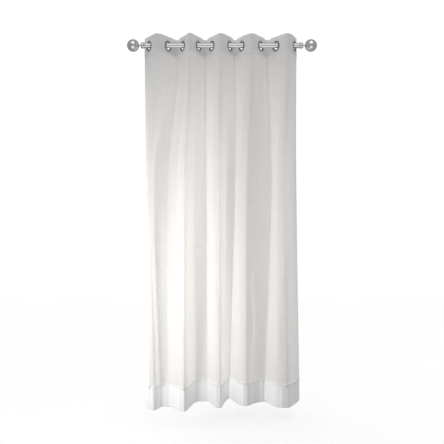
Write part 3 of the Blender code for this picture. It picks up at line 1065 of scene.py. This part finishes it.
class CURTAIN_OT_collars(bpy.types.Operator):
    """Cap each end of the rod with a rounded collar"""

    bl_idname = "curtain.collars"
    bl_label = "Collars"

    def execute(self, context):
        metal = context.scene.metal
        bore = ROD_RADIUS + FIT
        mouth = COLLAR_END - COLLAR_LENGTH
        rim = COLLAR_RADIUS - bore
        profile = [
            Mark(0.0008, COLLAR_END - COLLAR_WALL),
            Mark(bore - 0.0004, COLLAR_END - COLLAR_WALL),
            Mark(bore, COLLAR_END - COLLAR_WALL - 0.0004),
            Mark(bore, mouth + 0.0004),
        ]
        for angle in np.linspace(0, math.pi, 9)[1:-1]:
            radius = bore + rim / 2 * (1 - math.cos(angle))
            profile.append(Mark(radius, mouth + rim / 2 * (1 - math.sin(angle))))
        profile += [
            Mark(COLLAR_RADIUS, mouth + 0.0030),
            Mark(COLLAR_RADIUS - 0.0005, mouth + 0.0036),
            Mark(COLLAR_RADIUS - 0.0005, mouth + 0.0042),
            Mark(COLLAR_RADIUS, mouth + 0.0048),
        ]
        nose = 0.0060
        for angle in np.linspace(0, math.pi / 2, 12):
            radius = COLLAR_RADIUS - nose * (1 - math.cos(angle))
            profile.append(Mark(radius, COLLAR_END - nose * (1 - math.sin(angle))))
        profile.append(Mark(0.0008, COLLAR_END))
        model = turned_piece("collar_model", profile, 72)
        finish = metal_material("collar_metal", metal.rod_colour, 0.12, (420.0, 90.0, 90.0), 0.0)
        both_ends(model, "collar", finish)
        return {"FINISHED"}


class CURTAIN_OT_balls(bpy.types.Operator):
    """Set a ball finial on a thin neck at each end of the rod"""

    bl_idname = "curtain.balls"
    bl_label = "Ball finials"

    def execute(self, context):
        metal = context.scene.metal
        start = COLLAR_END + FIT
        blend = 0.0016
        neck_angle = math.asin((NECK_RADIUS + blend) / BALL_RADIUS)
        foot = BALL_X - BALL_RADIUS * math.cos(neck_angle)
        profile = [
            Mark(0.0010, start),
            Mark(NECK_RADIUS - 0.0004, start),
            Mark(NECK_RADIUS, start + 0.0004),
            Mark(NECK_RADIUS, foot - blend),
            Mark(NECK_RADIUS + 0.3 * blend, foot - 0.3 * blend),
        ]
        for angle in np.linspace(neck_angle, math.pi - 0.03, 60):
            radius = BALL_RADIUS * math.sin(angle)
            profile.append(Mark(radius, BALL_X - BALL_RADIUS * math.cos(angle)))
        model = turned_piece("ball_model", profile, 96)
        grain = (160.0, 160.0, 160.0)
        finish = metal_material("ball_metal", metal.ball_colour, 0.27, grain, 0.0010)
        both_ends(model, "ball", finish)
        return {"FINISHED"}


class CURTAIN_OT_stage(bpy.types.Operator):
    """Lay the pale floor and set up the soft lights and the camera"""

    bl_idname = "curtain.stage"
    bl_label = "Stage"

    def execute(self, context):
        stage = context.scene.stage
        self.add_floor(stage)
        self.add_surround(context, stage)
        for lamp in LAMPS:
            self.add_light(lamp)
        self.add_camera(context, stage)
        context.scene.view_settings.view_transform = "Standard"
        return {"FINISHED"}

    def add_floor(self, stage):
        alone()
        bpy.ops.mesh.primitive_plane_add(size=FLOOR_SIZE, location=(0, 0, stage.floor_height))
        floor = bpy.context.object
        floor.name = "floor"
        place(floor, floor.matrix_world.copy())
        plan = NodePlan(bpy.data.materials.new("pale_floor"))
        place_on = plan.add("ShaderNodeTexCoord").outputs["Object"]
        faint = plan.stretched_noise(place_on, (2.0, 2.0, 2.0))
        colour = plan.mixed_colour(faint, (0.88, 0.88, 0.88, 1.0), (0.92, 0.92, 0.92, 1.0))
        values = {"Base Color": colour, "Roughness": 0.9}
        values |= {"Emission Color": WHITE, "Emission Strength": FLOOR_GLOW}
        shader = plan.add("ShaderNodeBsdfPrincipled", values)
        floor.data.materials.append(plan.finish(shader.outputs[0]))
        floor.visible_diffuse = False
        floor.visible_glossy = False
        floor.visible_transmission = False
        self.unlit = bpy.data.collections.new("lit_by_surround_only")
        self.unlit.objects.link(floor)
        self.unlit.collection_objects[0].light_linking.link_state = "EXCLUDE"

    def add_surround(self, context, stage):
        """Even light from all sides, a white ground behind, and two soft panels for the metal."""
        plan = NodePlan(bpy.data.worlds.new("studio"), "ShaderNodeOutputWorld")
        path = plan.add("ShaderNodeLightPath").outputs
        direction = plan.add("ShaderNodeTexCoord").outputs["Generated"]
        height = plan.add("ShaderNodeSeparateXYZ", {0: direction}).outputs[2]
        low, high = (share * stage.surround for share in (LIGHT_FROM_BELOW, LIGHT_FROM_ABOVE))
        sky = plan.add("ShaderNodeMapRange", {0: height, 1: -1.0, 2: 1.0, 3: low, 4: high})
        gloss = GLOSS_BASE
        for panel in GLOSS_PANELS:
            values = {0: direction, 1: panel.direction}
            gap = plan.add("ShaderNodeVectorMath", values, operation="DISTANCE")
            glow = plan.ramp(gap.outputs["Value"], *PANEL_EDGE, panel.strength, 0.0)
            gloss = plan.maths("ADD", glow, gloss)
        even = plan.add("ShaderNodeBackground", {0: WHITE, 1: sky.outputs[0]})
        panels = plan.add("ShaderNodeBackground", {0: WHITE, 1: gloss})
        ground = plan.add("ShaderNodeBackground", {0: WHITE, 1: GROUND_STRENGTH})
        unseen = plan.shared(even, panels, path["Is Glossy Ray"])
        context.scene.world = plan.finish(plan.shared(unseen.node, ground, path["Is Camera Ray"]))

    def add_light(self, lamp):
        """A soft lamp with no shadow, because cloth so sheer hardly shades itself."""
        data = bpy.data.lights.new(lamp.name, "AREA")
        data.shape = "RECTANGLE"
        data.size = lamp.width
        data.size_y = lamp.height
        data.energy = lamp.power
        data.spread = math.radians(lamp.spread)
        data.use_shadow = False
        item = bpy.data.objects.new(lamp.name, data)
        bpy.context.collection.objects.link(item)
        item.location = lamp.spot
        aim = Vector(lamp.target) - Vector(lamp.spot)
        item.rotation_euler = aim.to_track_quat("-Z", "Y").to_euler()
        item.visible_camera = False
        item.visible_glossy = False
        item.light_linking.receiver_collection = self.unlit

    def add_camera(self, context, stage):
        data = bpy.data.cameras.new("camera")
        data.sensor_width = SENSOR_WIDTH
        data.lens = LENS
        camera = bpy.data.objects.new("camera", data)
        context.collection.objects.link(camera)
        camera.location = (0.0, -stage.camera_distance, stage.camera_height)
        camera.rotation_euler = (math.pi / 2, 0.0, 0.0)
        context.scene.camera = camera


class CURTAIN_PT_parts(bpy.types.Panel):
    """Lists the curtain's pieces"""

    bl_idname = "CURTAIN_PT_parts"
    bl_label = "Sheer Voile Curtain"
    bl_space_type = "VIEW_3D"
    bl_region_type = "UI"
    bl_category = "Curtain"

    def draw(self, context):
        for group in ("voile", "heading", "metal", "stage"):
            box = self.layout.box()
            settings = getattr(context.scene, group)
            for key in settings.__annotations__:
                box.prop(settings, key)
        for piece in PIECES:
            self.layout.operator(piece.bl_idname)


GROUPS = {
    "voile": VoileSettings,
    "heading": HeadingSettings,
    "metal": MetalSettings,
    "stage": StageSettings,
}
PIECES = (
    CURTAIN_OT_rod,
    CURTAIN_OT_collars,
    CURTAIN_OT_balls,
    CURTAIN_OT_eyelets,
    CURTAIN_OT_heading,
    CURTAIN_OT_voile,
    CURTAIN_OT_stage,
)


def register():
    for group, settings in GROUPS.items():
        bpy.utils.register_class(settings)
        setattr(bpy.types.Scene, group, PointerProperty(type=settings))
    for piece in (*PIECES, CURTAIN_PT_parts):
        bpy.utils.register_class(piece)


def unregister():
    for piece in reversed((*PIECES, CURTAIN_PT_parts)):
        bpy.utils.unregister_class(piece)
    for group, settings in reversed(GROUPS.items()):
        delattr(bpy.types.Scene, group)
        bpy.utils.unregister_class(settings)


def main():
    register()
    for piece in PIECES:
        group, action = piece.bl_idname.split(".")
        getattr(getattr(bpy.ops, group), action)()


if __name__ == "__main__":
    main()
